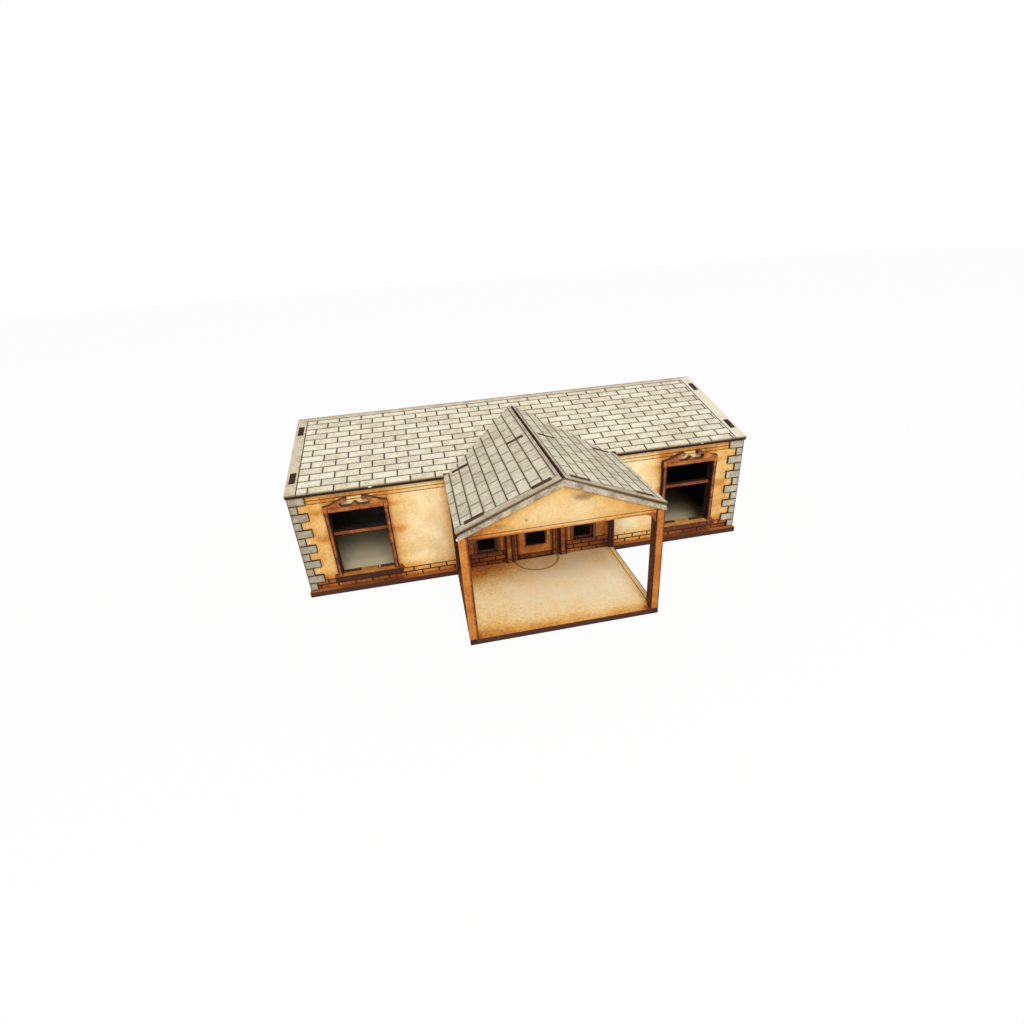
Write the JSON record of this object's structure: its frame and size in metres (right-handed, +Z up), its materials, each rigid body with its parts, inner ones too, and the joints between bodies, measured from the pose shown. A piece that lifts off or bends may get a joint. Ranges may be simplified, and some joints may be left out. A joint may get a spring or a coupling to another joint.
{
  "type": "tabletop model bungalow with a gabled porch",
  "caption": "Single-storey model house of laser-cut board: tiled gable roof, corner blocks, windows with pediments and an open gabled porch before the front door.",
  "frame": {"origin": "middle of the whole footprint, porch and window sills included, on the surface the base rests on", "axes": "+X to the right along the front as seen from the porch, +Y from the front to the back, +Z up"},
  "size_m": [0.25, 0.2086, 0.079],
  "materials": {
    "board": "matt, scorched near cut edges",
    "scorched_board": "matt, scorched dark by the cutting",
    "roof_board": "matt, engraved with tiles",
    "card": "matt grey card"
  },
  "bodies": {
    "root": {"base_plate": "board", "front_wall": "board", "back_wall": "board", "end_wall_left": "board", "end_wall_right": "board", "porch_gable_front": "board", "porch_gable_back": "board", "roof_front": "roof_board", "roof_back": "roof_board", "porch_roof_left": "roof_board", "porch_roof_right": "roof_board", "blocks_front_left": "card", "blocks_front_right": "card", "blocks_back_left": "card", "blocks_back_right": "card", "blocks_end_front_left": "card", "blocks_end_front_right": "card", "blocks_end_back_left": "card", "blocks_end_back_right": "card", "porch_fascia": "card", "surround_front_left": "scorched_board", "surround_front_right": "scorched_board", "surround_back_left": "scorched_board", "surround_back_right": "scorched_board", "sill_front_left": "scorched_board", "sill_front_right": "scorched_board", "sill_back_left": "scorched_board", "sill_back_right": "scorched_board", "porch_front_frame": "scorched_board", "porch_side_left": "scorched_board", "porch_side_right": "scorched_board", "door_surround": "scorched_board", "door_frame": "scorched_board", "front_door": "scorched_board", "porch_window_left": "scorched_board", "porch_window_right": "scorched_board"}
  },
  "joints": []
}
